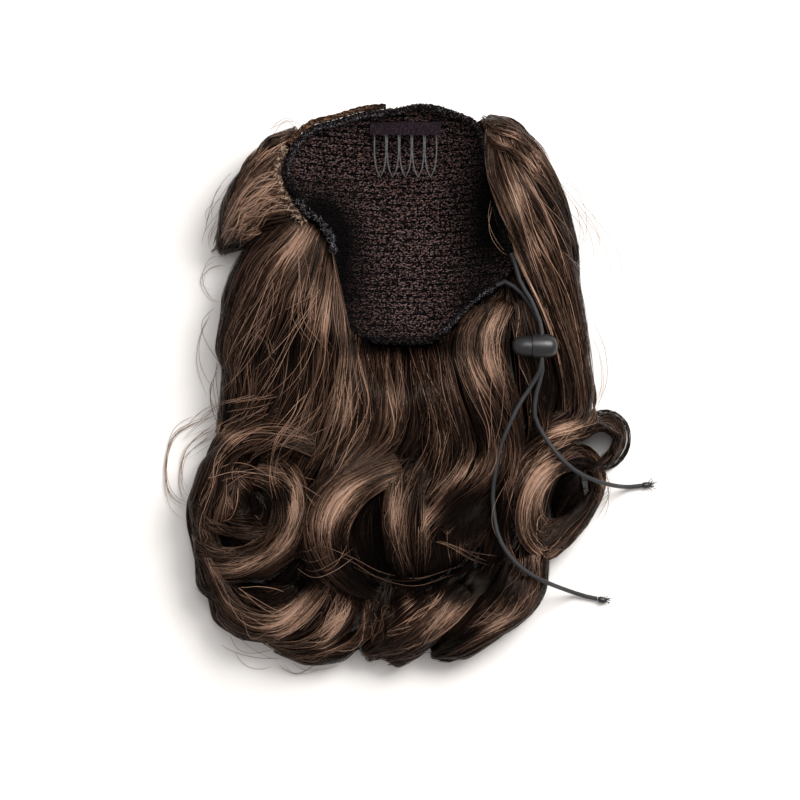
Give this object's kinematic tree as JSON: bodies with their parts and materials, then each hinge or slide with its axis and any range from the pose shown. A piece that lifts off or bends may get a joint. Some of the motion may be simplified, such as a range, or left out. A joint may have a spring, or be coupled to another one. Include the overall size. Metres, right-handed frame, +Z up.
{
  "type": "drawstring ponytail hairpiece",
  "caption": "Wavy ponytail hairpiece lying net side up, with a knitted net cap, wire comb, sewn weft bands and a drawstring with a sliding cord lock",
  "frame": {"origin": "bottom centre of the lying hair and cap, on the surface that it lies on", "axes": "+Z up, +Y from the tail's ends towards the cap, +X to the right seen from above"},
  "size_m": [0.2667, 0.3228, 0.0603],
  "materials": {
    "hair": "glossy dark brown synthetic hair",
    "net_yarn": "matt knitted yarn",
    "weft_thread": "sewn beige weft thread",
    "comb_wire": "dull steel wire",
    "comb_tape": "woven tape",
    "cord": "braided elastic cord",
    "lock_plastic": "satin black plastic"
  },
  "bodies": {
    "hairpiece": {"net_cap": "net_yarn", "rim_casing": "net_yarn", "weft_band_top": "weft_thread", "weft_band_left": "weft_thread", "comb": "comb_wire", "comb_tape": "comb_tape", "hair_bed": "hair", "hair_wing_left": "hair", "hair_fall_left": "hair", "hair_fall_centre": "hair", "hair_fall_right": "hair", "hair_curl_left": "hair", "hair_curl_centre": "hair", "hair_curl_right": "hair", "hair_ends_left": "hair", "hair_ends_right": "hair", "cord_upper": "cord", "cord_lower": "cord", "cord_tip_upper": "cord", "cord_tip_lower": "cord", "lock_barrel": "lock_plastic"},
    "button": {"lock_button": "lock_plastic"}
  },
  "joints": [
    {"name": "button_press", "type": "slide", "parent": "hairpiece", "child": "button", "axis": [1, 0, 0], "range_m": [0, 0.003], "stiffness_N_per_m": 400}
  ]
}
